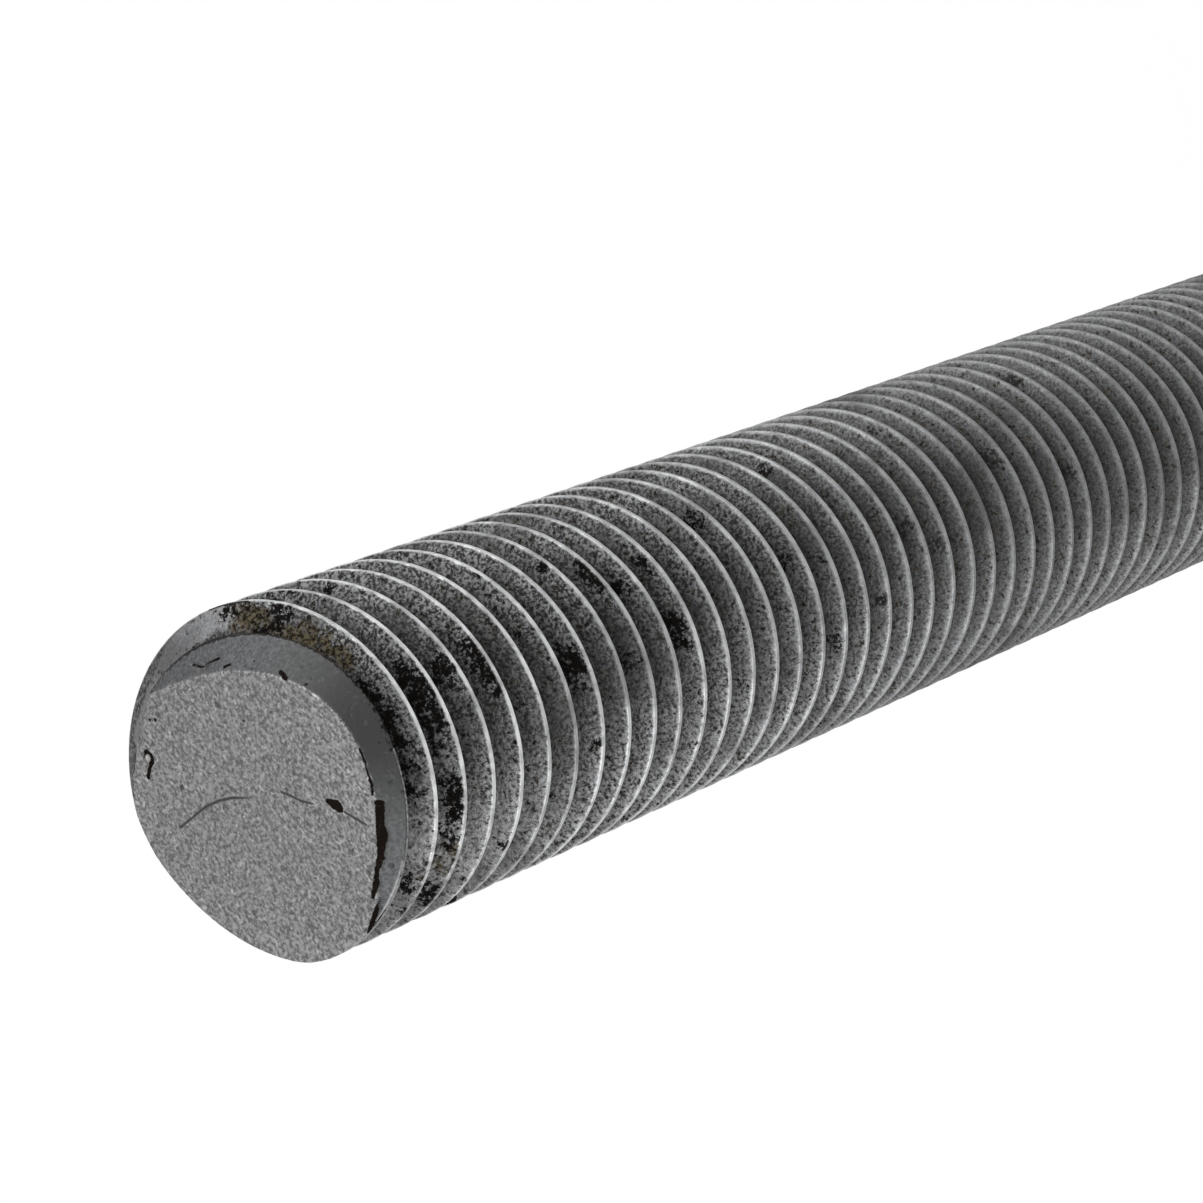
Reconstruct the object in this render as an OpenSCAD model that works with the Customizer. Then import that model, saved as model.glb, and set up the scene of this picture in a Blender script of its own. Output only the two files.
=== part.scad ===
// Threaded rod, a stud with one right-hand thread from end to end. It stands on its plain end, with
// the foot at z = 0, in millimetres. The other end, at the top, is sawn out of square, and its
// chamfer is ground by hand, broad on one side and gone on the other.

/* [Rod] */
// Outside diameter over the thread crests
rod_diameter = 19.05; // [16:0.05:22]
// Length along the middle line
rod_length = 152.4; // [120:0.1:170]

/* [Thread] */
// Distance from one crest to the next
thread_pitch = 2.54; // [2.2:0.01:3.2]
// Angle between the two flanks of the groove
flank_angle = 60; // [55:1:62]

/* [Sawn end] */
// Slant of the sawn face against a square cut
saw_slant = 9.1; // [0:0.1:12]
// Direction of the high side of the sawn face, counted round from the x axis
saw_direction = -62.2; // [-180:0.1:180]
// Angle of the ground chamfer from its own middle line
chamfer_angle = 56.3; // [50:0.1:60]
// Lean of that middle line
chamfer_lean = 20.3; // [5:0.1:24]

/* [Plain end] */
// Width of the even chamfer round the foot
foot_chamfer = 1.6; // [0.5:0.1:2.5]

/* [Hidden] */
steel = [0.50, 0.50, 0.51];
round_steps = 96;

// The groove of a rolled thread: its depth, and the narrow flats left on the crests
rod_radius = rod_diameter / 2;
thread_depth = 0.6134 * thread_pitch;
crest_flat = thread_pitch / 8;
groove_slope = tan(flank_angle / 2);
root_radius = rod_radius - thread_depth;
root_half_width = (thread_pitch - crest_flat) / 2 - thread_depth * groove_slope;

// The cutter for the groove stands out past the crests, by less than where its turns would meet
groove_rise = 0.1 * thread_pitch;
groove_radius = rod_radius + groove_rise;
groove_half_width = root_half_width + (thread_depth + groove_rise) * groove_slope;

// The groove begins on the low side of the sawn face and runs down past the foot
groove_start_angle = 95;
groove_start = rod_length - 0.026 * thread_pitch;
groove_turns = ceil(rod_length / thread_pitch) + 2;
triangle_budget = 11950;
triangles_a_step = 8;
steps_a_turn = floor(triangle_budget / triangles_a_step / groove_turns);
groove_steps = groove_turns * steps_a_turn;

// The ground chamfer is part of a cone, which leans and stands beside the middle line of the rod
lean_direction = -71.4;
cone_shift = 0.478 * rod_radius;
cone_shift_direction = -85.4;
cone_radius = 0.733 * rod_radius;
cone_slope = tan(chamfer_angle);
cone_depth = 1.5 * rod_radius;
cone_height = cone_radius / cone_slope;
cone_base_radius = cone_radius + cone_depth * cone_slope;

// Cutters reach this far past the rod
cutter_radius = 1.25 * rod_radius;
cutter_reach = 0.6 * rod_radius;
saw_margin = 0.3 * rod_radius;

// Blank of full diameter, with the even chamfer round the foot, longer than the sawn rod
module blank() {
    cylinder(h = foot_chamfer, r1 = rod_radius - foot_chamfer, r2 = rod_radius, $fn = round_steps);
    translate([0, 0, foot_chamfer])
        cylinder(h = rod_length + saw_margin - foot_chamfer, r = rod_radius, $fn = round_steps);
}

// Everything above the slanted saw cut
module saw_cut() {
    translate([0, 0, rod_length])
        rotate([0, 0, saw_direction])
            rotate([0, -saw_slant, 0])
                translate([-cutter_radius, -cutter_radius, 0])
                    cube([2 * cutter_radius, 2 * cutter_radius, cutter_reach + saw_margin]);
}

// What the grinder takes off round the sawn end: all that stands outside the leaning cone
module ground_off() {
    difference() {
        translate([0, 0, rod_length - cutter_reach])
            cylinder(h = 2 * cutter_reach, r = cutter_radius, $fn = round_steps);
        translate([cone_shift * cos(cone_shift_direction), cone_shift * sin(cone_shift_direction), rod_length])
            rotate([0, 0, lean_direction])
                rotate([0, chamfer_lean, 0])
                    translate([0, 0, -cone_depth])
                        cylinder(h = cone_depth + cone_height, r1 = cone_base_radius, r2 = 0,
                                 $fn = round_steps);
    }
}

// The four corners of the groove's cross-section: radius, and height from the middle of the groove
groove_profile = [
    [root_radius, -root_half_width],
    [root_radius, root_half_width],
    [groove_radius, groove_half_width],
    [groove_radius, -groove_half_width]
];

// Those corners after a number of steps down round the rod
function groove_station(step) =
    let (turned = groove_start_angle - 360 * step / steps_a_turn,
         height = groove_start - thread_pitch * step / steps_a_turn)
    [for (corner = groove_profile)
        [corner[0] * cos(turned), corner[0] * sin(turned), height + corner[1]]];

// Two triangles for each side of the groove between a station and the next
function groove_band(step) =
    [for (side = [0:3])
        let (here = 4 * step + side, beside = 4 * step + (side + 1) % 4)
        each [[here, beside, beside + 4], [here, beside + 4, here + 4]]];

// Helical cutter for the groove, closed at both ends
module thread_groove() {
    last = 4 * groove_steps;
    polyhedron(
        points = [for (step = [0:groove_steps]) each groove_station(step)],
        faces = concat(
            [[3, 2, 1, 0]],
            [[last, last + 1, last + 2, last + 3]],
            [for (step = [0:groove_steps - 1]) each groove_band(step)]
        )
    );
}

module threaded_rod() {
    color(steel)
    difference() {
        blank();
        saw_cut();
        ground_off();
        thread_groove();
    }
}

threaded_rod();
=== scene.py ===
import math

import bmesh
import bpy
import numpy as np
from mathutils import Matrix, Vector


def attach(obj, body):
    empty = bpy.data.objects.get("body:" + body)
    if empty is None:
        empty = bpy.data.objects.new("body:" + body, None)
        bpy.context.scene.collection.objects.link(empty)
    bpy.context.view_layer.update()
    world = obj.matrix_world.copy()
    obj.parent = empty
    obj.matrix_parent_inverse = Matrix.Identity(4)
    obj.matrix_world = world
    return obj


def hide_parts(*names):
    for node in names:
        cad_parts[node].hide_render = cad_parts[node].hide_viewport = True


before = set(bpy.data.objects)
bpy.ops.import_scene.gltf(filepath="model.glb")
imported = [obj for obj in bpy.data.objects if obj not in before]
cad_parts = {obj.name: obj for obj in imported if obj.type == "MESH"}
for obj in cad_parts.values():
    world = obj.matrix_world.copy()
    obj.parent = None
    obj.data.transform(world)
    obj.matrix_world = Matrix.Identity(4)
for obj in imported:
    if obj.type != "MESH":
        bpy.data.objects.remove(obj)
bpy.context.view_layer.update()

MM = 0.001

# Sizes of the rod, in metres, as in the part's source
ROD_RADIUS = 9.525 * MM
ROD_LENGTH = 152.4 * MM
THREAD_PITCH = 2.54 * MM
THREAD_DEPTH = 0.6134 * THREAD_PITCH
FOOT_CHAMFER = 1.6 * MM

# The groove's middle passes this height at this angle round the rod, and starts there
GROOVE_START_ANGLE = math.radians(95)
GROOVE_START = ROD_LENGTH - 0.026 * THREAD_PITCH

# Mesh steps of the thread, and how much of a turn the groove takes to reach its full depth
STEPS_A_TURN = 88
TURNS_ABOVE = 2
TURNS_BELOW = 61
GROOVE_START_SHARE = 1 / 40
# Points nearer to each other than this are joined
MERGE_REACH = 0.5e-6
# Across one pitch, from crest to crest: place in shares of the pitch, and depth in shares of the whole
CREST_TO_CREST = [
    (0.0, 0.0), (0.048, 0.0), (0.075, 0.045), (0.17, 0.32), (0.29, 0.66), (0.395, 0.96), (0.5, 1.0),
    (0.605, 0.96), (0.71, 0.66), (0.83, 0.32), (0.925, 0.045), (0.952, 0.0), (1.0, 0.0),
]

# Sawn face: height at the middle line and slopes along x and y
SAW_HEIGHT = ROD_LENGTH - 0.004 * MM
SAW_SLOPE_X = 0.0747
SAW_SLOPE_Y = -0.1417

# Ground chamfer: a leaning cone, with this radius at this point and this growth of it along the axis
CONE_POINT = np.array([0.362, -4.543, 152.4]) * MM
CONE_AXIS = np.array([-0.118, 0.350, -1.0])
CONE_RADIUS = 6.98 * MM
CONE_GROWTH = 1.5

# Colours of the steel, of its marks and of the dirt, and of painted shade, painted light and painted
# highlights, as linear red, green and blue
FLANK_DARK = (0.018, 0.018, 0.0185)
FLANK_LIGHT = (0.190, 0.192, 0.196)
FLANK_SPARKLE = (0.32, 0.32, 0.325)
FLANK_EVEN = (0.088, 0.089, 0.091)
FLANK_DIM = (0.034, 0.034, 0.0345)
# Painted light: flanks on the low side, where more light falls, shown as pale speckle
FLANK_PALE = (0.35, 0.352, 0.357)
# Painted shade deep in the groove, towards its root
ROOT_SHADE = (0.017, 0.017, 0.0175)
# Black of the pits, also used for the painted shade in the groove past the chamfer's rim
PIT_AND_RIM_SHADE_COLOR = (0.0065, 0.006, 0.0055)
# Crests: rubbed steel with a painted highlight, bright and dull
CREST_HIGHLIGHT_BRIGHT = (0.72, 0.727, 0.733)
CREST_HIGHLIGHT_DULL = (0.45, 0.455, 0.46)
FACE_DARK = (0.104, 0.104, 0.104)
FACE_LIGHT = (0.340, 0.340, 0.338)
FACE_SPARKLE = (0.50, 0.50, 0.495)
GROUND_DARK = (0.056, 0.057, 0.059)
GROUND_LIGHT = (0.122, 0.124, 0.128)
# Painted shade on the side of the ground chamfer that faces the camera
GROUND_SHADE = (0.052, 0.053, 0.052)
RUBBED_DARK = (0.145, 0.147, 0.152)
RUBBED_LIGHT = (0.228, 0.231, 0.238)
SCRATCH_COLOR = (0.040, 0.039, 0.037)
SMEAR_COLOR = (0.26, 0.26, 0.258)
MARK_RUSTY = (0.015, 0.0095, 0.0065)
RIM_LIGHT = (0.36, 0.362, 0.365)
MARK_COLOR = (0.0055, 0.0038, 0.0028)
RUST_DARK = (0.012, 0.009, 0.0055)
RUST_LIGHT = (0.105, 0.088, 0.058)
DIRT_COLOR = (0.0035, 0.003, 0.0026)
DIRT_PALE = (0.022, 0.018, 0.013)

# Worked end: spacing and half width of its grid, depth of its marks, and how far below it a point may lie
END_SPACING = 0.1 * MM
END_HALF_WIDTH = 10.3 * MM
MARK_DEPTH = 0.10 * MM
SCRATCH_DEPTH = 0.02 * MM
END_REACH = 0.17 * MM

# Blocks that cut the two ends: height over the end, half width and depth of the block at the foot, its sides
CUT_HEIGHT = 12 * MM
FOOT_BLOCK = 13 * MM
FOOT_BLOCK_DEPTH = 4 * MM
FOOT_CUT_MORE = 1.0 * MM
FOOT_SIDES = 128

# How deep the crests are worn unevenly and the noise's scale, height of the grain, and number of small spots
CREST_WEAR = 0.03 * MM
WEAR_SCALE = 900
GRAIN_HEIGHT = 0.03 * MM
SCATTERED_SPOTS = 240

# Angles round the rod, in degrees, of the sides that the masks are centred on
# Side of the painted shade in the groove seen past the chamfer's rim
SHADED_RIM_SIDE = -25
BRIGHT_RIM_SIDE = -152
# Side of the painted shade on the ground chamfer
SHADED_GROUND_SIDE = -80
# Side of the painted light on the flanks
LIT_SIDE = -150
LOW_SIDE = -154

# Faces that meet at less than this angle are shaded as one
SMOOTH_ANGLE = math.radians(38)

# Scales of the noises in the steel, in features a metre
GRAIN_SCALE = 5200
FINE_SCALE = 4200
SAND_SCALE = 2600
CRUMB_SCALE = 4600
RAGGED_SCALE = 1700

# Photo's camera: its lens in millimetres, its place and the directions of its sides
LENS = 130.96
CAMERA_PLACE = (1.98 * MM, -149.60 * MM, ROD_LENGTH + 168.41 * MM)
CAMERA_RIGHT = Vector((-0.35786, -0.75001, -0.55626))
CAMERA_UP = Vector((0.93377, -0.28930, -0.21067))
CAMERA_BACK = Vector((-0.00292, -0.59481, 0.80386))

# Studio: fill light of the surroundings, where 1 is white, the floor, and each light's place, size and power
FILL_LEVEL = 0.55
FLOOR_HALF = 3.0
FLOOR_WHITE = 0.97
LIGHT_FROM_ABOVE = ((0.75, 0.00, 0.80), 1.0, 9.5)
LIGHT_FROM_BESIDE = ((-0.80, -0.30, 0.55), 0.9, 6)

# Marks on the worked end, as x, y and half width of the line at each point, in millimetres
DARK_MARKS = [
    # Spot of rust on the face
    [(-1.88, -4.82, 0.19), (-2.01, -4.99, 0.26), (-2.26, -5.29, 0.33), (-2.42, -5.45, 0.20)],
    # Hook-shaped nick
    [(3.51, 7.24, 0.04), (3.88, 6.68, 0.11), (3.56, 6.43, 0.13), (3.23, 6.56, 0.12), (2.99, 6.99, 0.13),
     (2.57, 7.37, 0.15)],
    # Pits
    [(5.31, 5.39, 0.10)], [(5.21, 5.01, 0.10)], [(3.46, -1.35, 0.09)], [(2.60, -7.47, 0.06)],
    [(1.68, -8.08, 0.06)],
    # Crevice, thin, then wide, then thin again
    [(0.09, -8.51, 0.04), (-0.51, -8.50, 0.06), (-1.23, -8.36, 0.07), (-1.86, -8.27, 0.10),
     (-2.30, -8.04, 0.08)],
    [(-2.83, -8.11, 0.23), (-3.59, -7.71, 0.19), (-4.39, -7.36, 0.28), (-4.94, -6.98, 0.22),
     (-5.41, -6.65, 0.19), (-5.94, -6.08, 0.14), (-6.51, -5.69, 0.18), (-7.22, -4.95, 0.13)],
    [(-7.35, -5.38, 0.05), (-7.94, -4.69, 0.12), (-8.46, -4.08, 0.15), (-9.08, -3.37, 0.12)],
    # Burrs along the edge of the face
    [(7.15, 0.97, 0.06), (6.81, 0.24, 0.06)], [(6.83, 0.09, 0.06), (6.90, -0.51, 0.05), (6.89, -1.09, 0.07)],
    [(6.38, -1.45, 0.06), (6.41, -1.93, 0.08)], [(5.76, -3.37, 0.08)], [(6.12, -3.55, 0.06)],
    [(5.13, -5.18, 0.07), (4.67, -5.61, 0.10)], [(4.05, -6.66, 0.08)],
    [(7.57, 3.13, 0.06), (7.25, 3.70, 0.08), (6.90, 4.32, 0.07)], [(6.77, 4.60, 0.06), (6.39, 5.38, 0.05)],
]
SCRATCHES = [
    [(-0.52, 6.65, 0.08), (-0.14, 4.95, 0.08), (0.05, 4.06, 0.08), (0.09, 2.90, 0.08), (0.00, 1.86, 0.08),
     (-0.28, 0.71, 0.05)],
    [(-0.59, -1.84, 0.07), (-0.92, -2.37, 0.08), (-1.37, -2.97, 0.08), (-1.76, -3.81, 0.05)],
    [(-2.63, -5.64, 0.07), (-3.17, -6.25, 0.08), (-3.62, -6.76, 0.07)],
]

# Rust, rubbed metal and dirt on the thread. For each groove, counted from the worked end: angle round the
# rod in degrees, height above the groove's middle and reach, both in millimetres
RUST_PATCHES = {
    0: [(-10, -0.9, 0.40), (-15, -0.7, 0.50), (-21, -0.6, 0.50), (-27, -0.5, 0.45), (-34, -0.4, 0.45),
        (-40, -0.4, 0.45), (-40, -0.7, 0.30), (-45, -0.4, 0.45), (-49, -0.7, 0.30), (-52, -0.5, 0.40),
        (-57, -0.6, 0.40), (-140, -1.2, 0.30)],
    1: [(-135, -1.0, 0.35), (-141, -0.8, 0.30)],
}
RUBBED_PATCHES = {
    0: [(56, -0.4, 0.50), (51, -0.2, 0.50), (45, 0.0, 0.55), (39, -0.1, 0.55), (31, -0.3, 0.60),
        (24, -0.4, 0.65), (17, -0.6, 0.65), (9, -0.7, 0.65), (1, -0.8, 0.55), (-6, -0.8, 0.45)],
}
DIRT_PATCHES = {
    -1: [(-151, -0.9, 0.45), (-158, -0.9, 0.45), (-171, -1.1, 0.35)],
    0: [(-9, -0.9, 0.35), (-13, -0.9, 0.30), (-21, -0.4, 0.25), (-25, -0.3, 0.25), (-29, -0.8, 0.55),
        (-31, -0.4, 0.30), (-45, 0.9, 0.40), (-54, 1.0, 0.40), (-61, 1.0, 0.35), (-67, 1.0, 0.40),
        (-72, -0.4, 0.45), (-79, -0.4, 0.45), (-86, -0.5, 0.50), (-93, -0.5, 0.45), (-101, -0.5, 0.40),
        (-110, -0.6, 0.35), (-144, -0.9, 0.30), (-145, 1.2, 0.45), (-146, -0.7, 0.35), (-156, -1.1, 0.35)],
    1: [(-17, -1.0, 0.25), (-21, -1.1, 0.25), (-71, -0.7, 0.45), (-76, -0.8, 0.50), (-81, -0.7, 0.60),
        (-87, -0.7, 0.50), (-93, -0.7, 0.45), (-99, -0.5, 0.35), (-112, -0.8, 0.45), (-116, -0.9, 0.55),
        (-122, -1.0, 0.45), (-128, -0.7, 0.30), (-132, -0.9, 0.30), (-155, -0.9, 0.55)],
    2: [(-24, -0.8, 0.20), (-75, -0.8, 0.55), (-78, -0.8, 0.40)],
    3: [(-69, -0.9, 0.35), (-73, -0.9, 0.35), (-77, -1.0, 0.50), (-82, -1.1, 0.55), (-89, -1.1, 0.35),
        (-144, -1.0, 0.30), (-175, -1.0, 0.40)],
    4: [(-95, -0.7, 0.25)],
    5: [(-135, -0.6, 0.25)],
    6: [(-84, -0.6, 0.40), (-88, -0.7, 0.60), (-92, -0.7, 0.55)],
    7: [(-52, -1.0, 0.30), (-117, 1.2, 0.25)],
    8: [(-58, -1.1, 0.45), (-63, -1.1, 0.60), (-95, -0.6, 0.35)],
    9: [(-67, 1.2, 0.55), (-70, -0.5, 0.45)],
    10: [(-65, -0.9, 0.35), (-90, -0.6, 0.55), (-96, -0.7, 0.40)],
    13: [(-55, -0.8, 0.50)],
    15: [(-83, -0.6, 0.35)],
    16: [(-118, -0.8, 0.40)],
    17: [(-44, -0.8, 0.35)],
    18: [(-110, -1.0, 0.40)],
    20: [(-88, -0.8, 0.50)],
    21: [(-99, -1.0, 0.50)],
    25: [(-73, -0.7, 0.55)],
    28: [(-90, -0.6, 0.45)],
    29: [(-43, -0.8, 0.50)],
}


def depth_inside(x, y, path):
    """How far points lie inside a line of varying width in the plan, negative outside."""
    best = np.full(x.shape, -1e9)
    for (ax, ay, wide_a), (bx, by, wide_b) in zip(path, path[1:] or path):
        dx, dy = bx - ax, by - ay
        along = np.clip(((x - ax) * dx + (y - ay) * dy) / max(dx * dx + dy * dy, 1e-12), 0, 1)
        away = np.hypot(x - ax - along * dx, y - ay - along * dy)
        best = np.maximum(best, wide_a + (wide_b - wide_a) * along - away)
    return best


def wavy(x, y, scale, seed):
    """Smooth repeatable unevenness between -1 and 1."""
    total = np.zeros_like(x)
    rng = np.random.default_rng(seed)
    for octave in range(4):
        for _ in range(4):
            angle, phase = rng.uniform(0, 2 * math.pi, 2)
            wave = 2 ** octave / scale
            total += np.sin((x * math.cos(angle) + y * math.sin(angle)) * wave * 6.283 + phase) / 2 ** octave
    return total / 5.5


def worked_end_height(x, y):
    """Height of the sawn face and the ground chamfer over the plan, in metres."""
    saw = SAW_HEIGHT + SAW_SLOPE_X * x + SAW_SLOPE_Y * y
    axis = CONE_AXIS / np.linalg.norm(CONE_AXIS)
    tip = CONE_POINT - axis * CONE_RADIUS / CONE_GROWTH
    cos2 = 1 / (1 + CONE_GROWTH ** 2)
    dx, dy = x - tip[0], y - tip[1]
    side = dx * axis[0] + dy * axis[1]
    lead = axis[2] ** 2 - cos2
    root = np.sqrt(np.maximum(side ** 2 * axis[2] ** 2 - lead * (side ** 2 - (dx ** 2 + dy ** 2) * cos2), 0))
    cone = tip[2] + (-side * axis[2] - root) / lead
    blend = 0.05 * MM
    mix = np.clip(0.5 + 0.5 * (cone - saw) / blend, 0, 1)
    return cone * (1 - mix) + saw * mix - blend * mix * (1 - mix), saw, cone


def mark_masks(x, y):
    """Dark marks and scratches of the worked end over the plan, in millimetres: 0.5 at their edges."""
    rough = 0.05 * wavy(x, y, 1.2, 3) + 0.04 * wavy(x, y, 0.45, 8)
    dark = np.zeros_like(x)
    for path in DARK_MARKS:
        widest = max(point[2] for point in path)
        dark = np.maximum(dark, 0.5 + (depth_inside(x, y, path) + rough * min(1, widest / 0.2)) / 0.3)
    scratch = np.zeros_like(x)
    for path in SCRATCHES:
        scratch = np.maximum(scratch, 0.5 + depth_inside(x, y, path) / 0.3)
    return np.clip(dark, 0, 1), np.clip(scratch, 0, 1)


def turns_down(angle, z):
    """Turns of the thread from its first crest to an angle round the rod and a height."""
    back = np.where(angle > GROOVE_START_ANGLE, math.tau, 0)
    return (GROOVE_START - z) / THREAD_PITCH - (GROOVE_START_ANGLE - angle + back) / math.tau + 0.5


def thread_radius(angle, z):
    """Radius of the thread's surface at an angle round the rod and a height."""
    turn = turns_down(angle, z)
    across, sunk = np.array(CREST_TO_CREST).T
    return ROD_RADIUS - THREAD_DEPTH * np.interp(turn % 1, across, sunk) * (turn > 0)


def math_node(tree, operation, *values, clamp=False):
    """Adds a Math node whose inputs are numbers or sockets, and gives its output."""
    made = tree.nodes.new("ShaderNodeMath")
    made.operation = operation
    made.use_clamp = clamp
    for socket, value in zip(made.inputs, values):
        if isinstance(value, (int, float)):
            socket.default_value = value
        else:
            tree.links.new(value, socket)
    return made.outputs[0]


def add(tree, a, b, clamp=False):
    return math_node(tree, "ADD", a, b, clamp=clamp)


def subtract(tree, a, b, clamp=False):
    return math_node(tree, "SUBTRACT", a, b, clamp=clamp)


def multiply(tree, a, b, clamp=False):
    return math_node(tree, "MULTIPLY", a, b, clamp=clamp)


def scaled(tree, value, factor, more):
    """The value times the factor, plus more."""
    return math_node(tree, "MULTIPLY_ADD", value, factor, more)


def curve_node(tree, value, points):
    """Adds a Float Curve with straight stretches between the points, and gives its output."""
    made = tree.nodes.new("ShaderNodeFloatCurve")
    curve = made.mapping.curves[0]
    while len(curve.points) < len(points):
        curve.points.new(0.5, 0.5)
    for place, point in zip(curve.points, points):
        place.location = point
        place.handle_type = "VECTOR"
    made.mapping.update()
    tree.links.new(value, made.inputs["Value"])
    return made.outputs[0]


def thread_tree():
    """Geometry Nodes tree that winds the thread's profile round the rod and closes both ends."""
    tree = bpy.data.node_groups.new("helical_thread", "GeometryNodeTree")
    face = tree.interface
    face.new_socket("Geometry", in_out="OUTPUT", socket_type="NodeSocketGeometry")
    face.new_socket("Geometry", in_out="INPUT", socket_type="NodeSocketGeometry")
    for name in ("Crest Radius", "Depth", "Pitch", "Start Height", "Start Angle", "Wear"):
        face.new_socket(name, in_out="INPUT", socket_type="NodeSocketFloat")
    for name in ("Turns Above", "Turns Below", "Steps a Turn"):
        face.new_socket(name, in_out="INPUT", socket_type="NodeSocketInt")
    face.new_socket("Finish", in_out="INPUT", socket_type="NodeSocketMaterial")
    given = tree.nodes.new("NodeGroupInput").outputs
    link = tree.links.new
    turns = add(tree, given["Turns Above"], given["Turns Below"])
    columns = len(CREST_TO_CREST)
    grid = tree.nodes.new("GeometryNodeMeshGrid")
    grid.inputs["Size X"].default_value = 1
    grid.inputs["Size Y"].default_value = 1
    grid.inputs["Vertices Y"].default_value = columns
    link(add(tree, multiply(tree, turns, given["Steps a Turn"]), 1), grid.inputs["Vertices X"])
    place = tree.nodes.new("GeometryNodeInputPosition").outputs[0]
    parts = tree.nodes.new("ShaderNodeSeparateXYZ")
    link(place, parts.inputs[0])
    along = add(tree, parts.outputs["X"], 0.5)
    across = add(tree, parts.outputs["Y"], 0.5)
    last = columns - 1
    spread = curve_node(tree, across, [(i / last, p[0]) for i, p in enumerate(CREST_TO_CREST)])
    sunk = curve_node(tree, across, [(i / last, p[1]) for i, p in enumerate(CREST_TO_CREST)])
    turned = subtract(tree, multiply(tree, along, turns), given["Turns Above"])
    begun = multiply(tree, turned, 1 / GROOVE_START_SHARE, clamp=True)
    angle = subtract(tree, given["Start Angle"], multiply(tree, turned, math.tau))
    depth = multiply(tree, multiply(tree, sunk, begun), given["Depth"])
    radius = subtract(tree, given["Crest Radius"], depth)
    down = add(tree, turned, subtract(tree, spread, 0.5))
    height = subtract(tree, given["Start Height"], multiply(tree, down, given["Pitch"]))
    wound = tree.nodes.new("ShaderNodeCombineXYZ")
    link(multiply(tree, radius, math_node(tree, "COSINE", angle)), wound.inputs["X"])
    link(multiply(tree, radius, math_node(tree, "SINE", angle)), wound.inputs["Y"])
    link(height, wound.inputs["Z"])
    shape = tree.nodes.new("GeometryNodeSetPosition")
    link(grid.outputs["Mesh"], shape.inputs["Geometry"])
    link(wound.outputs[0], shape.inputs["Position"])
    joined = tree.nodes.new("GeometryNodeMergeByDistance")
    joined.inputs["Distance"].default_value = MERGE_REACH
    link(shape.outputs[0], joined.inputs["Geometry"])
    # The open rims at both ends are drawn in to a point on the middle line
    rim = tree.nodes.new("GeometryNodeInputMeshEdgeNeighbors")
    open_edge = tree.nodes.new("FunctionNodeCompare")
    open_edge.data_type = "INT"
    open_edge.operation = "EQUAL"
    link(rim.outputs[0], open_edge.inputs[2])
    open_edge.inputs[3].default_value = 1
    drawn = tree.nodes.new("GeometryNodeExtrudeMesh")
    drawn.mode = "EDGES"
    drawn.inputs["Offset Scale"].default_value = 0
    link(joined.outputs[0], drawn.inputs["Mesh"])
    link(open_edge.outputs[0], drawn.inputs["Selection"])
    now = tree.nodes.new("GeometryNodeInputPosition").outputs[0]
    now_parts = tree.nodes.new("ShaderNodeSeparateXYZ")
    link(now, now_parts.inputs[0])
    halfway = multiply(tree, given["Start Height"], 0.5)
    upper = math_node(tree, "GREATER_THAN", now_parts.outputs["Z"], halfway)
    top = add(tree, given["Start Height"], multiply(tree, given["Pitch"], given["Turns Above"]))
    bottom = subtract(tree, given["Start Height"], multiply(tree, given["Pitch"], given["Turns Below"]))
    end = add(tree, multiply(tree, upper, top), multiply(tree, subtract(tree, 1, upper), bottom))
    middle = tree.nodes.new("ShaderNodeCombineXYZ")
    link(end, middle.inputs["Z"])
    closed = tree.nodes.new("GeometryNodeSetPosition")
    link(drawn.outputs["Mesh"], closed.inputs["Geometry"])
    link(drawn.outputs["Top"], closed.inputs["Selection"])
    link(middle.outputs[0], closed.inputs["Position"])
    sealed = tree.nodes.new("GeometryNodeMergeByDistance")
    sealed.inputs["Distance"].default_value = MERGE_REACH
    link(closed.outputs[0], sealed.inputs["Geometry"])
    # The crests are a little uneven
    uneven = tree.nodes.new("ShaderNodeTexNoise")
    uneven.inputs["Scale"].default_value = WEAR_SCALE
    uneven.inputs["Detail"].default_value = 2
    lowered = multiply(tree, subtract(tree, uneven.outputs[0], 1), given["Wear"])
    outward = tree.nodes.new("ShaderNodeVectorMath")
    outward.operation = "MULTIPLY"
    link(now, outward.inputs[0])
    outward.inputs[1].default_value = (1, 1, 0)
    unit = tree.nodes.new("ShaderNodeVectorMath")
    unit.operation = "NORMALIZE"
    link(outward.outputs[0], unit.inputs[0])
    pushed = tree.nodes.new("ShaderNodeVectorMath")
    pushed.operation = "SCALE"
    link(unit.outputs[0], pushed.inputs[0])
    link(lowered, pushed.inputs["Scale"])
    worn = tree.nodes.new("GeometryNodeSetPosition")
    link(sealed.outputs[0], worn.inputs["Geometry"])
    link(pushed.outputs[0], worn.inputs["Offset"])
    whole = tree.nodes.new("GeometryNodeRealizeInstances")
    link(worn.outputs[0], whole.inputs[0])
    painted = tree.nodes.new("GeometryNodeSetMaterial")
    link(whole.outputs[0], painted.inputs["Geometry"])
    link(given["Finish"], painted.inputs["Material"])
    link(painted.outputs[0], tree.nodes.new("NodeGroupOutput").inputs[0])
    return tree


def new_object(name, data):
    made = bpy.data.objects.new(name, data)
    bpy.context.scene.collection.objects.link(made)
    return made


def baked(obj):
    """Plain mesh of an object with its modifiers."""
    graph = bpy.context.evaluated_depsgraph_get()
    return bpy.data.meshes.new_from_object(obj.evaluated_get(graph))


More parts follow.
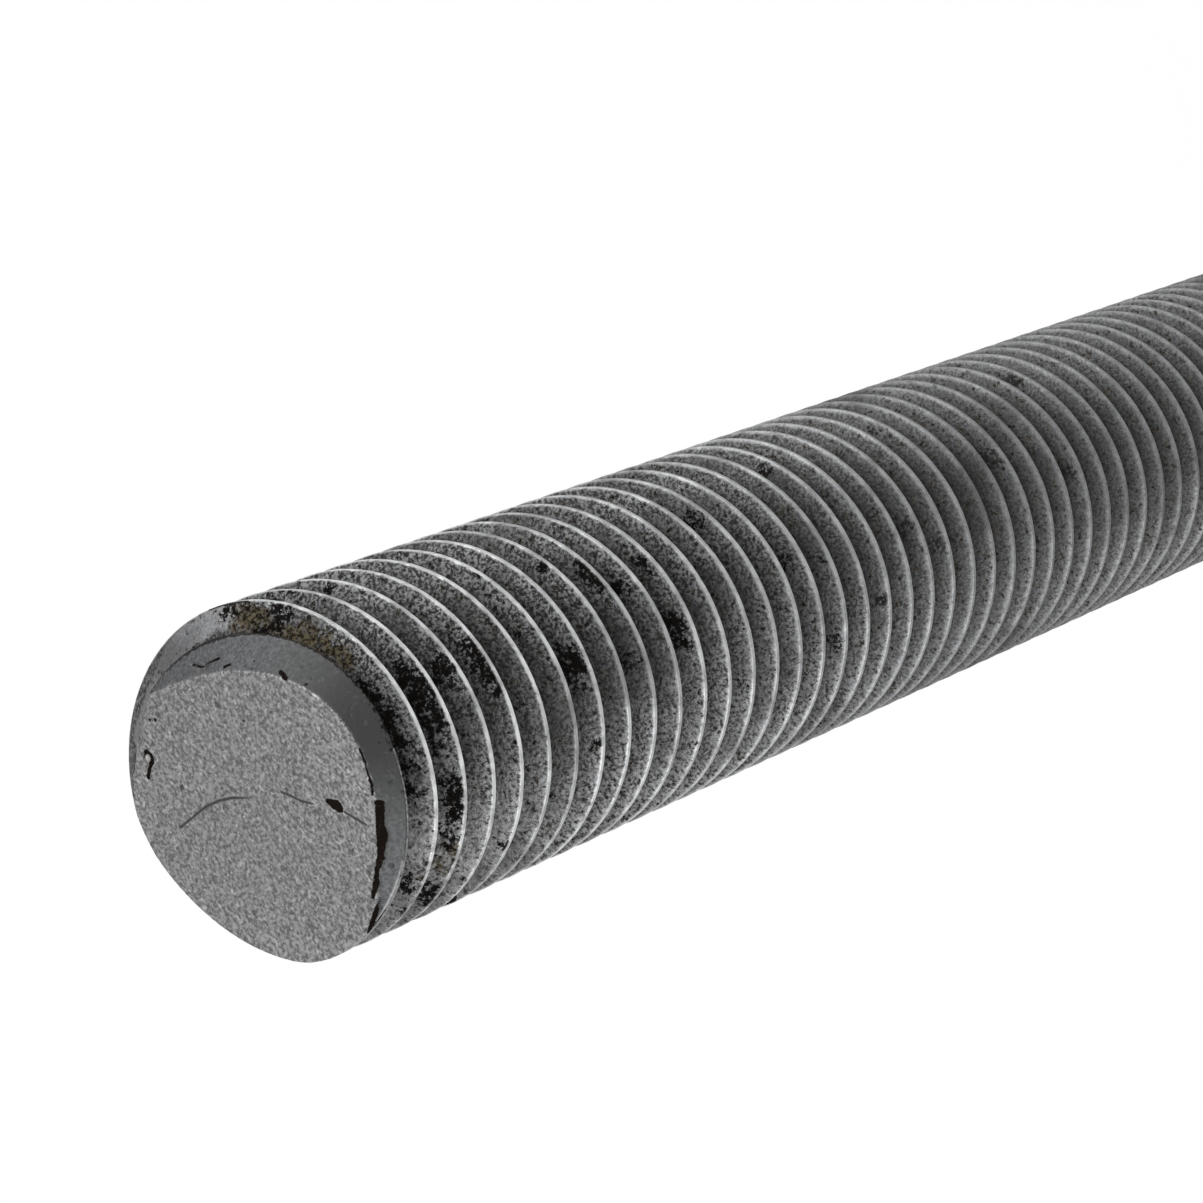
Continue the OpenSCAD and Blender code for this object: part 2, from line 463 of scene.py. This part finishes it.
def wound_thread(finish):
    """Rod with its thread, longer than the real one at both ends."""
    blank = new_object("thread_blank", bpy.data.meshes.new("thread_blank"))
    tree = thread_tree()
    winder = blank.modifiers.new("thread", "NODES")
    winder.node_group = tree
    values = {
        "Crest Radius": ROD_RADIUS, "Depth": THREAD_DEPTH, "Pitch": THREAD_PITCH,
        "Start Height": GROOVE_START, "Start Angle": GROOVE_START_ANGLE, "Wear": CREST_WEAR,
        "Turns Above": TURNS_ABOVE, "Turns Below": TURNS_BELOW, "Steps a Turn": STEPS_A_TURN,
        "Finish": finish,
    }
    for socket in tree.interface.items_tree:
        if socket.name in values:
            winder[socket.identifier] = values[socket.name]
    mesh = baked(blank)
    bpy.data.objects.remove(blank)
    return new_object("threaded_rod_piece", mesh)


def end_cutter():
    """Closed block whose underside is the worked end, with its marks as real hollows."""
    count = int(2 * END_HALF_WIDTH / END_SPACING) + 1
    line = np.linspace(-END_HALF_WIDTH, END_HALF_WIDTH, count)
    x, y = np.meshgrid(line, line, indexing="ij")
    height, saw, cone = worked_end_height(x, y)
    dark, scratch = mark_masks(x / MM, y / MM)
    height = height - MARK_DEPTH * np.clip(dark * 5 - 2, 0, 1)
    height = height - SCRATCH_DEPTH * np.clip(scratch * 5 - 2, 0, 1)
    on_face = np.clip((cone - saw) / (0.1 * MM), 0, 1)
    height = height + 0.006 * MM * wavy(x / MM, y / MM, 0.5, 11) * on_face
    height = height + 0.012 * MM * wavy(x / MM, y / MM, 3.0, 5) * (1 - on_face)
    under = np.stack([x, y, height], -1).reshape(-1, 3)
    corners = under[[0, count - 1, count * count - 1, count * (count - 1)]].copy()
    corners[:, 2] = ROD_LENGTH + CUT_HEIGHT
    points = np.concatenate([under, corners])
    at = np.arange(count * count).reshape(count, count)
    quads = np.stack([at[:-1, :-1], at[:-1, 1:], at[1:, 1:], at[1:, :-1]], -1).reshape(-1, 4).tolist()
    c00, c01, c11, c10 = range(count * count, count * count + 4)
    sides = [
        [c00, c10, c11, c01],
        [c01] + at[0, ::-1].tolist() + [c00],
        [c11] + at[::-1, -1].tolist() + [c01],
        [c10] + at[-1, :].tolist() + [c11],
        [c00] + at[:, 0].tolist() + [c10],
    ]
    mesh = bpy.data.meshes.new("end_cutter")
    mesh.from_pydata(points.tolist(), [], quads + sides)
    shape = bmesh.new()
    shape.from_mesh(mesh)
    bmesh.ops.triangulate(shape, faces=[f for f in shape.faces if len(f.verts) > 4])
    bmesh.ops.recalc_face_normals(shape, faces=shape.faces)
    shape.to_mesh(mesh)
    shape.free()
    return new_object("end_cutter", mesh)


def foot_cutter():
    """Everything outside the chamfered foot: a block with a cone-shaped hollow."""
    shape = bmesh.new()
    wide = (ROD_RADIUS + FOOT_CUT_MORE, FOOT_CHAMFER + FOOT_CUT_MORE)
    narrow = (ROD_RADIUS - FOOT_CHAMFER, 0)
    rings = []
    for radius, height in [(FOOT_BLOCK, -FOOT_BLOCK_DEPTH), (FOOT_BLOCK, wide[1]), wide, narrow]:
        angles = [math.tau * i / FOOT_SIDES for i in range(FOOT_SIDES)]
        rings.append([shape.verts.new((radius * math.cos(t), radius * math.sin(t), height)) for t in angles])
    for a, b in zip(rings, rings[1:]):
        for i in range(FOOT_SIDES):
            j = (i + 1) % FOOT_SIDES
            shape.faces.new((a[i], a[j], b[j], b[i]))
    shape.faces.new(rings[-1])
    shape.faces.new(list(reversed(rings[0])))
    bmesh.ops.recalc_face_normals(shape, faces=shape.faces)
    mesh = bpy.data.meshes.new("foot_cutter")
    shape.to_mesh(mesh)
    shape.free()
    return new_object("foot_cutter", mesh)


def cut(obj, cutter, finish):
    """Takes the cutter out of the object, removes the cutter and gives every face the finish."""
    knife = obj.modifiers.new("cut", "BOOLEAN")
    knife.operation = "DIFFERENCE"
    knife.solver = "MANIFOLD"
    knife.object = cutter
    mesh = baked(obj)
    mesh.materials.clear()
    mesh.materials.append(finish)
    mesh.polygons.foreach_set("material_index", [0] * len(mesh.polygons))
    old = obj.data
    obj.modifiers.clear()
    obj.data = mesh
    bpy.data.meshes.remove(old)
    bpy.data.objects.remove(cutter)


def point_places(mesh):
    places = np.empty(len(mesh.vertices) * 3)
    mesh.vertices.foreach_get("co", places)
    return places.reshape(-1, 3)


def keep_masks(mesh, domain, masks):
    for name, value in masks.items():
        mask = mesh.attributes.new(name, "FLOAT", domain)
        mask.data.foreach_set("value", value.astype(np.float32))


def end_masks(mesh):
    """Masks of the worked end, kept on the face corners so that they stop at its rim."""
    x, y, z = point_places(mesh).T
    height, saw, cone = worked_end_height(x, y)
    dark, scratch = mark_masks(x / MM, y / MM)
    firsts = np.empty(len(mesh.polygons), int)
    mesh.polygons.foreach_get("loop_start", firsts)
    corner = np.empty(len(mesh.loops), int)
    mesh.loops.foreach_get("vertex_index", corner)
    in_end = np.logical_and.reduceat((z > height - END_REACH)[corner], firsts)
    worked = np.repeat(in_end, np.diff(np.append(firsts, len(corner)))).astype(float)
    angle = np.arctan2(y, x)
    gap = thread_radius(angle, z) - np.hypot(x, y)
    rim = np.clip(1 - gap / (0.16 * MM), 0, 1)
    wide_rim = np.clip(1 - gap / (0.36 * MM), 0, 1)
    degrees = np.degrees(angle)
    # Painted shade of the groove seen past the chamfer's outer rim
    rim_shade_window = np.clip(1.5 - np.abs(degrees - SHADED_RIM_SIDE) / 60, 0, 1)
    bright_side = np.clip(1.5 - np.abs(degrees - BRIGHT_RIM_SIDE) / 25, 0, 1)
    ground = np.clip((saw - cone) / (0.05 * MM), 0, 1)
    # Painted shade on the camera side of the ground chamfer
    ground_shade_window = np.clip(1.25 - np.abs(degrees - SHADED_GROUND_SIDE) / 48, 0, 1)
    masks = {
        "dark_mark": dark, "scratch": scratch, "worked": np.ones_like(x), "ground": ground,
        "painted_ground_shade": ground * ground_shade_window, "painted_rim_shade": wide_rim * rim_shade_window, "bright_rim": rim * bright_side,
    }
    keep_masks(mesh, "CORNER", {name: value[corner] * worked for name, value in masks.items()})


def group(name, inputs, outputs):
    """Empty shader node group with named sockets, its input node and its output node."""
    tree = bpy.data.node_groups.new(name, "ShaderNodeTree")
    for label, kind, value in inputs:
        socket = tree.interface.new_socket(label, in_out="INPUT", socket_type=kind)
        if value is not None:
            socket.default_value = value
    for label, kind in outputs:
        tree.interface.new_socket(label, in_out="OUTPUT", socket_type=kind)
    return tree, tree.nodes.new("NodeGroupInput").outputs, tree.nodes.new("NodeGroupOutput").inputs


def noise(tree, vector, scale, detail, roughness):
    made = tree.nodes.new("ShaderNodeTexNoise")
    for label, number in (("Scale", scale), ("Detail", detail), ("Roughness", roughness)):
        made.inputs[label].default_value = number
    tree.links.new(vector, made.inputs["Vector"])
    return made.outputs[0]


def ramp(tree, value, low, high, to_low=0.0, to_high=1.0, smooth=True):
    """Maps a stretch of values to another one and holds it at both ends."""
    made = tree.nodes.new("ShaderNodeMapRange")
    made.interpolation_type = "SMOOTHSTEP" if smooth else "LINEAR"
    for label, number in (("From Min", low), ("From Max", high), ("To Min", to_low), ("To Max", to_high)):
        if isinstance(number, (int, float)):
            made.inputs[label].default_value = number
        else:
            tree.links.new(number, made.inputs[label])
    tree.links.new(value, made.inputs["Value"])
    return made.outputs[0]


def mix_color(tree, factor, a, b):
    made = tree.nodes.new("ShaderNodeMix")
    made.data_type = "RGBA"
    for socket, value in ((made.inputs[0], factor), (made.inputs[6], a), (made.inputs[7], b)):
        if isinstance(value, (int, float)):
            socket.default_value = value
        elif isinstance(value, tuple):
            socket.default_value = (*value, 1)
        else:
            tree.links.new(value, socket)
    return made.outputs[2]


def thread_place_group():
    """Shader group: place on the thread. Crest is 1 on the crests, Sunk grows towards the root."""
    tree, given, put = group(
        "place_on_thread",
        [("Vector", "NodeSocketVector", None), ("Crest Reach", "NodeSocketFloat", 0.05)],
        [("Crest", "NodeSocketFloat"), ("Sunk", "NodeSocketFloat")],
    )
    parts = tree.nodes.new("ShaderNodeSeparateXYZ")
    tree.links.new(given["Vector"], parts.inputs[0])
    x, y, z = parts.outputs
    reach = math_node(tree, "SQRT", add(tree, multiply(tree, x, x), multiply(tree, y, y)))
    depth = math_node(tree, "DIVIDE", subtract(tree, ROD_RADIUS, reach), THREAD_DEPTH)
    angle = math_node(tree, "ARCTAN2", y, x)
    sunk_turns = math_node(tree, "DIVIDE", subtract(tree, GROOVE_START, z), THREAD_PITCH)
    round_turns = math_node(tree, "DIVIDE", subtract(tree, angle, GROOVE_START_ANGLE), math.tau)
    turn = add(tree, sunk_turns, round_turns)
    off_crest = math_node(tree, "ABSOLUTE", subtract(tree, math_node(tree, "FRACT", turn), 0.5))
    core = multiply(tree, given["Crest Reach"], 0.45)
    tree.links.new(ramp(tree, off_crest, given["Crest Reach"], core), put["Crest"])
    tree.links.new(ramp(tree, depth, 0.02, 0.62, smooth=False), put["Sunk"])
    return tree


def pits_group():
    """Shader group: small round pits of uneven size, as a mask."""
    tree, given, put = group(
        "small_pits",
        [("Vector", "NodeSocketVector", None), ("Scale", "NodeSocketFloat", 2000.0),
         ("Amount", "NodeSocketFloat", 0.3)],
        [("Mask", "NodeSocketFloat")],
    )
    cells = tree.nodes.new("ShaderNodeTexVoronoi")
    tree.links.new(given["Vector"], cells.inputs["Vector"])
    tree.links.new(given["Scale"], cells.inputs["Scale"])
    tint = tree.nodes.new("ShaderNodeSeparateColor")
    tree.links.new(cells.outputs["Color"], tint.inputs[0])
    chosen = math_node(tree, "LESS_THAN", tint.outputs[0], given["Amount"])
    size = scaled(tree, tint.outputs[1], 0.30, 0.10)
    inside = multiply(tree, subtract(tree, size, cells.outputs["Distance"]), 8, clamp=True)
    tree.links.new(multiply(tree, inside, chosen), put["Mask"])
    return tree


def attribute(tree, name):
    made = tree.nodes.new("ShaderNodeAttribute")
    made.attribute_name = name
    return made.outputs["Fac"]


def use_group(tree, shared, vector, **values):
    made = tree.nodes.new("ShaderNodeGroup")
    made.node_tree = shared
    tree.links.new(vector, made.inputs["Vector"])
    for label, value in values.items():
        made.inputs[label].default_value = value
    return made


def largest(tree, *masks):
    """Where any of the masks is set."""
    total = masks[0]
    for mask in masks[1:]:
        total = math_node(tree, "MAXIMUM", total, mask)
    return total


def flank_color(tree, where, shine, sunk, grain, fine, pits):
    """Flanks: dark grey with light grains and black pits, darker towards the root with painted shade, paler
    on the low side with painted light, calmer further away.
    """
    cloud = noise(tree, where, 260, 3, 0.6)
    color = mix_color(tree, ramp(tree, grain, 0.42, 0.61), FLANK_DARK, FLANK_LIGHT)
    color = mix_color(tree, multiply(tree, ramp(tree, fine, 0.60, 0.67), 0.7), color, FLANK_SPARKLE)
    color = mix_color(tree, multiply(tree, ramp(tree, cloud, 0.45, 0.68), 0.5), color, FLANK_DIM)
    # Painted light on the low side, as pale speckle on the flanks
    speckle = multiply(tree, attribute(tree, "pale"), ramp(tree, fine, 0.40, 0.60))
    color = mix_color(tree, multiply(tree, speckle, 0.72), color, FLANK_PALE)
    color = mix_color(tree, ramp(tree, shine, 0.75, 0.2, 0.0, 0.6), color, FLANK_EVEN)
    # Painted shade: the flank darkens towards the root of the groove
    shade = multiply(tree, sunk, scaled(tree, shine, -0.25, 0.8))
    color = mix_color(tree, shade, color, ROOT_SHADE)
    color = mix_color(tree, multiply(tree, pits, scaled(tree, shine, 0.5, 0.45)), color, PIT_AND_RIM_SHADE_COLOR)
    rubbed = mix_color(tree, ramp(tree, grain, 0.30, 0.75), RUBBED_DARK, RUBBED_LIGHT)
    return mix_color(tree, ramp(tree, attribute(tree, "rubbed"), 0.15, 0.6), color, rubbed)


def side_color(tree, where, shine, crest, flank):
    """Flanks with the crests over them, bright with rubbed steel and a painted highlight but broken on the
    low side, and broad stains.
    """
    breaks = noise(tree, where, 1100, 3, 0.6)
    # Painted highlight on the crests, over rubbed steel, broken by noise
    crest_highlight_tone = mix_color(tree, ramp(tree, breaks, 0.30, 0.70), CREST_HIGHLIGHT_DULL, CREST_HIGHLIGHT_BRIGHT)
    smear = ramp(tree, noise(tree, where, 1900, 4, 0.7), 0.42, 0.56)
    low = attribute(tree, "low")
    flank = mix_color(tree, multiply(tree, low, multiply(tree, smear, 0.75)), flank, SMEAR_COLOR)
    kept = subtract(tree, 1, multiply(tree, low, scaled(tree, smear, -0.75, 0.75)))
    kept = multiply(tree, kept, scaled(tree, attribute(tree, "blunt"), -0.9, 1))
    # The painted crest highlight is weaker on the painted-light low side far from the worked end
    far_pale = multiply(tree, attribute(tree, "pale"), subtract(tree, 1, shine))
    kept = multiply(tree, kept, scaled(tree, far_pale, -0.6, 1))
    crest_highlight_shown = multiply(tree, multiply(tree, crest, shine), kept)
    stain = multiply(tree, ramp(tree, noise(tree, where, 140, 3, 0.6), 0.50, 0.70), 0.55)
    return mix_color(tree, stain, mix_color(tree, crest_highlight_shown, flank, crest_highlight_tone), FLANK_DIM)


def end_color(tree, where, grain, fine, sand, pits):
    """Blasted face and ground chamfer with their rims, with painted shade on one side of the chamfer and in
    the groove past its rim; also gives the mask of their dark marks.
    """
    broad = noise(tree, where, 55, 2, 0.5)
    mixed = scaled(tree, fine, 0.6, multiply(tree, grain, 0.4))
    face = mix_color(tree, ramp(tree, mixed, 0.39, 0.61), FACE_DARK, FACE_LIGHT)
    face = mix_color(tree, multiply(tree, ramp(tree, sand, 0.60, 0.70), 0.65), face, FACE_SPARKLE)
    face = mix_color(tree, multiply(tree, pits, 0.6), face, PIT_AND_RIM_SHADE_COLOR)
    face = mix_color(tree, multiply(tree, ramp(tree, broad, 0.4, 0.65), 0.18), face, FACE_DARK)
    smooth = mix_color(tree, ramp(tree, grain, 0.30, 0.75), GROUND_DARK, GROUND_LIGHT)
    # Painted shade on the camera side of the ground chamfer
    smooth = mix_color(tree, attribute(tree, "painted_ground_shade"), smooth, GROUND_SHADE)
    smooth = mix_color(tree, multiply(tree, ramp(tree, sand, 0.60, 0.70), 0.3), smooth, FACE_DARK)
    smooth = mix_color(tree, multiply(tree, pits, 0.5), smooth, PIT_AND_RIM_SHADE_COLOR)
    color = mix_color(tree, attribute(tree, "ground"), face, smooth)
    jagged = scaled(tree, fine, 0.8, -0.4)

    def ragged_mask(name, unevenness, low, high):
        return ramp(tree, add(tree, attribute(tree, name), multiply(tree, jagged, unevenness)), low, high)

    color = mix_color(tree, multiply(tree, ragged_mask("bright_rim", 1, 0.3, 0.9), 0.8), color, RIM_LIGHT)
    # Painted shade: the dark groove seen past the chamfer's outer rim
    color = mix_color(tree, multiply(tree, ragged_mask("painted_rim_shade", 2, 0.35, 0.55), 0.85), color, PIT_AND_RIM_SHADE_COLOR)
    color = mix_color(tree, multiply(tree, ragged_mask("scratch", 0.5, 0.42, 0.6), 0.9), color, SCRATCH_COLOR)
    dark_mark = ragged_mask("dark_mark", 0.7, 0.44, 0.58)
    mark_tone = mix_color(tree, ramp(tree, grain, 0.50, 0.68), MARK_COLOR, MARK_RUSTY)
    return mix_color(tree, dark_mark, color, mark_tone), dark_mark


def dirt_and_rust(tree, where, shine, crest, worked):
    """Ragged masks of the dirt and the rust in the grooves."""
    ragged = noise(tree, where, RAGGED_SCALE, 5, 0.72)
    crumbs = noise(tree, where, CRUMB_SCALE, 3, 0.7)
    broken = scaled(tree, crumbs, 3.4, scaled(tree, ragged, 3.0, -3.2))
    not_crest = subtract(tree, 1, multiply(tree, crest, 0.85))
    here = multiply(tree, not_crest, subtract(tree, 1, worked))
    dirt = multiply(tree, ramp(tree, add(tree, broken, attribute(tree, "dirt")), 0.52, 0.78), here)
    dirt = multiply(tree, dirt, ramp(tree, shine, 0.25, 0.60, 0.55, 1.0))
    rust = multiply(tree, ramp(tree, add(tree, broken, attribute(tree, "rust")), 0.10, 0.90), here)
    return dirt, rust


def grain_relief(tree, grain, sand, calm, pits, dirt):
    """Normals of the grain, the pits and the dirt, weaker where the steel is calm."""
    relief = multiply(tree, add(tree, grain, multiply(tree, sand, 1.5)),
                      subtract(tree, 1, multiply(tree, calm, 0.7)))
    relief = subtract(tree, relief, multiply(tree, pits, 0.6))
    relief = subtract(tree, relief, multiply(tree, dirt, 0.5))
    bump = tree.nodes.new("ShaderNodeBump")
    bump.inputs["Distance"].default_value = GRAIN_HEIGHT
    bump.inputs["Strength"].default_value = 0.9
    tree.links.new(relief, bump.inputs["Height"])
    return bump.outputs[0]


def bare_steel():
    """Bare rolled steel: crests bright with rubbed steel and a painted highlight, dark grainy flanks with
    painted shade and painted light, blasted face, rust and dirt near the end.
    """
    finish = bpy.data.materials.new("bare_steel")
    finish.use_nodes = True
    tree = finish.node_tree
    shader = tree.nodes["Principled BSDF"]
    shader.inputs["Specular IOR Level"].default_value = 0.05
    link = tree.links.new
    where = tree.nodes.new("ShaderNodeTexCoord").outputs["Object"]
    place = use_group(tree, thread_place_group(), where)
    shine, worked = attribute(tree, "shine"), attribute(tree, "worked")
    edge = noise(tree, where, 2400, 3, 0.6)
    link(scaled(tree, edge, 0.05, scaled(tree, shine, -0.055, 0.11)), place.inputs["Crest Reach"])
    crest, sunk = place.outputs["Crest"], place.outputs["Sunk"]
    grain = noise(tree, where, GRAIN_SCALE, 3, 0.65)
    fine = noise(tree, where, FINE_SCALE, 3, 0.7)
    sand = noise(tree, where, SAND_SCALE, 2, 0.6)
    pits = pits_group()
    flank_pits = use_group(tree, pits, where, Scale=2400.0, Amount=0.40).outputs[0]
    face_pits = use_group(tree, pits, where, Scale=1500.0, Amount=0.16).outputs[0]

    flank = flank_color(tree, where, shine, sunk, grain, fine, flank_pits)
    end, dark_mark = end_color(tree, where, grain, fine, sand, face_pits)
    color = mix_color(tree, worked, side_color(tree, where, shine, crest, flank), end)
    dirt, rust = dirt_and_rust(tree, where, shine, crest, worked)
    rust_tone = mix_color(tree, ramp(tree, grain, 0.40, 0.60), RUST_DARK, RUST_LIGHT)
    dirt_tone = mix_color(tree, ramp(tree, fine, 0.57, 0.70), DIRT_COLOR, DIRT_PALE)
    color = mix_color(tree, dirt, mix_color(tree, rust, color, rust_tone), dirt_tone)
    link(color, shader.inputs["Base Color"])

    dull = largest(tree, dirt, rust, multiply(tree, dark_mark, worked))
    bright_crest = multiply(tree, crest, subtract(tree, 1, worked))
    roughness = subtract(tree, 0.52, multiply(tree, bright_crest, 0.08))
    link(add(tree, roughness, multiply(tree, dull, 0.35), clamp=True), shader.inputs["Roughness"])
    link(subtract(tree, 0.85, multiply(tree, dull, 0.8), clamp=True), shader.inputs["Metallic"])
    calm = largest(tree, bright_crest, attribute(tree, "ground"))
    all_pits = largest(tree, flank_pits, face_pits)
    link(grain_relief(tree, grain, sand, calm, all_pits, dirt), shader.inputs["Normal"])
    return finish


def on_thread(groove, degrees, above):
    """Point on the thread's surface, in metres, from its groove, angle and height above the middle."""
    angle = math.radians(degrees)
    back = math.tau if angle > GROOVE_START_ANGLE else 0
    middle = GROOVE_START - THREAD_PITCH * (groove + (GROOVE_START_ANGLE - angle + back) / math.tau)
    z = middle + above * MM
    radius = float(thread_radius(angle, z))
    return np.array([radius * math.cos(angle), radius * math.sin(angle), z])


def patch_mask(places, patches):
    """Soft mask round each patch, from 0 to 1."""
    total = np.zeros(len(places))
    for groove, spots in patches.items():
        for degrees, above, reach in spots:
            away = np.linalg.norm(places - on_thread(groove, degrees, above), axis=1) / MM
            total = np.maximum(total, np.clip(1.5 - away / (1.5 * reach), 0, 1))
    return total


def thread_masks(mesh):
    """Masks of the thread, kept on the points: its dirt and rust, its tone with painted light on the low
    side, and how bright its painted crest highlights are.
    """
    places = point_places(mesh)
    rng = np.random.default_rng(21)
    scattered = {}
    for _ in range(SCATTERED_SPOTS):
        groove, degrees = int(rng.integers(1, 59)), rng.uniform(-180, 180)
        scattered.setdefault(groove, []).append((degrees, rng.uniform(-1, 1), rng.uniform(0.08, 0.32)))
    dirt = np.maximum(patch_mask(places, DIRT_PATCHES), 0.75 * patch_mask(places, scattered))
    angle = np.degrees(np.arctan2(places[:, 1], places[:, 0]))
    # Painted light: the flanks are paler on the low side
    pale = np.clip(1 - np.abs((angle - LIT_SIDE + 180) % 360 - 180) / 75, 0, 1)
    # Counted from the worked end, where the painted crest highlights are brightest
    turns = (ROD_LENGTH - places[:, 2]) / THREAD_PITCH
    shine = 1 - 0.80 * np.clip((turns - 3) / 22, 0, 1)
    from_low = np.abs((angle - LOW_SIDE + 180) % 360 - 180)
    low = np.clip(1.3 - from_low / 34, 0, 1) * np.clip(1.4 - turns / 5, 0, 1)
    # The first crest was ground off along the worked end
    blunt = np.clip((0.45 - turns_down(np.radians(angle), places[:, 2])) / 0.15, 0, 1)
    keep_masks(mesh, "POINT", {
        "blunt": blunt, "shine": shine, "dirt": dirt, "pale": pale, "low": low,
        "rust": patch_mask(places, RUST_PATCHES), "rubbed": patch_mask(places, RUBBED_PATCHES),
    })


def seen_share(tree):
    """1 where the camera sees a surface, also in a reflection or through glass, and 0 for light on others."""
    path = tree.nodes.new("ShaderNodeLightPath").outputs
    return largest(tree, path["Is Camera Ray"], path["Is Glossy Ray"], path["Is Transmission Ray"])


def floor_finish():
    """Plain pale floor that looks white and keeps the shadow of the object."""
    finish = bpy.data.materials.new("pale_floor")
    finish.use_nodes = True
    tree = finish.node_tree
    shader = tree.nodes["Principled BSDF"]
    shader.inputs["Base Color"].default_value = (0.8, 0.8, 0.8, 1)
    shader.inputs["Roughness"].default_value = 0.9
    shader.inputs["Specular IOR Level"].default_value = 0.0
    white = tree.nodes.new("ShaderNodeEmission")
    white.inputs["Strength"].default_value = 1.0
    seen = seen_share(tree)
    share = tree.nodes.new("ShaderNodeMixShader")
    tree.links.new(multiply(tree, seen, FLOOR_WHITE), share.inputs[0])
    tree.links.new(shader.outputs[0], share.inputs[1])
    tree.links.new(white.outputs[0], share.inputs[2])
    tree.links.new(share.outputs[0], tree.nodes["Material Output"].inputs["Surface"])
    return finish


def area_light(name, place, size, power):
    """Square soft light at a place, facing the upper part of the rod."""
    lamp = bpy.data.lights.new(name, "AREA")
    lamp.size = size
    lamp.energy = power
    obj = new_object(name, lamp)
    aim = Vector((0, 0, ROD_LENGTH * 0.8)) - Vector(place)
    obj.matrix_world = Matrix.Translation(place) @ aim.to_track_quat("-Z", "Y").to_matrix().to_4x4()


def studio():
    """Floor, white surroundings and soft lights."""
    mesh = bpy.data.meshes.new("floor")
    corners = [(-FLOOR_HALF, -FLOOR_HALF, 0), (FLOOR_HALF, -FLOOR_HALF, 0), (FLOOR_HALF, FLOOR_HALF, 0),
               (-FLOOR_HALF, FLOOR_HALF, 0)]
    mesh.from_pydata(corners, [], [(0, 1, 2, 3)])
    floor = new_object("floor", mesh)
    mesh.materials.append(floor_finish())
    world = bpy.data.worlds.new("surroundings")
    bpy.context.scene.world = world
    world.use_nodes = True
    tree = world.node_tree
    back = tree.nodes["Background"]
    back.inputs["Color"].default_value = (1, 1, 1, 1)
    seen = seen_share(tree)
    tree.links.new(scaled(tree, seen, 1 - FILL_LEVEL, FILL_LEVEL), back.inputs["Strength"])
    area_light("light_from_above", *LIGHT_FROM_ABOVE)
    area_light("light_from_beside", *LIGHT_FROM_BESIDE)
    bpy.context.scene.view_settings.view_transform = "Standard"


def photo_camera():
    """Camera at the viewing angle of the photograph, from its measured lens and place."""
    camera = bpy.data.cameras.new("photo_camera")
    camera.sensor_width = 36
    camera.lens = LENS
    camera.clip_start = 0.01
    camera.clip_end = 20
    obj = new_object("photo_camera", camera)
    turned = Matrix((CAMERA_RIGHT, CAMERA_UP, CAMERA_BACK)).transposed()
    obj.matrix_world = Matrix.Translation(CAMERA_PLACE) @ turned.to_4x4()
    bpy.context.scene.camera = obj


def threaded_rod():
    """The whole rod: wound thread, worked end, chamfered foot, masks and finish."""
    finish = bare_steel()
    rod = wound_thread(finish)
    cut(rod, end_cutter(), finish)
    cut(rod, foot_cutter(), finish)
    rod.data.name = "threaded_rod_piece"
    end_masks(rod.data)
    thread_masks(rod.data)
    rod.data.polygons.foreach_set("use_smooth", [True] * len(rod.data.polygons))
    rod.data.set_sharp_from_angle(angle=SMOOTH_ANGLE)
    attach(rod, "root")
    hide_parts("threaded_rod")


photo_camera()
threaded_rod()
studio()
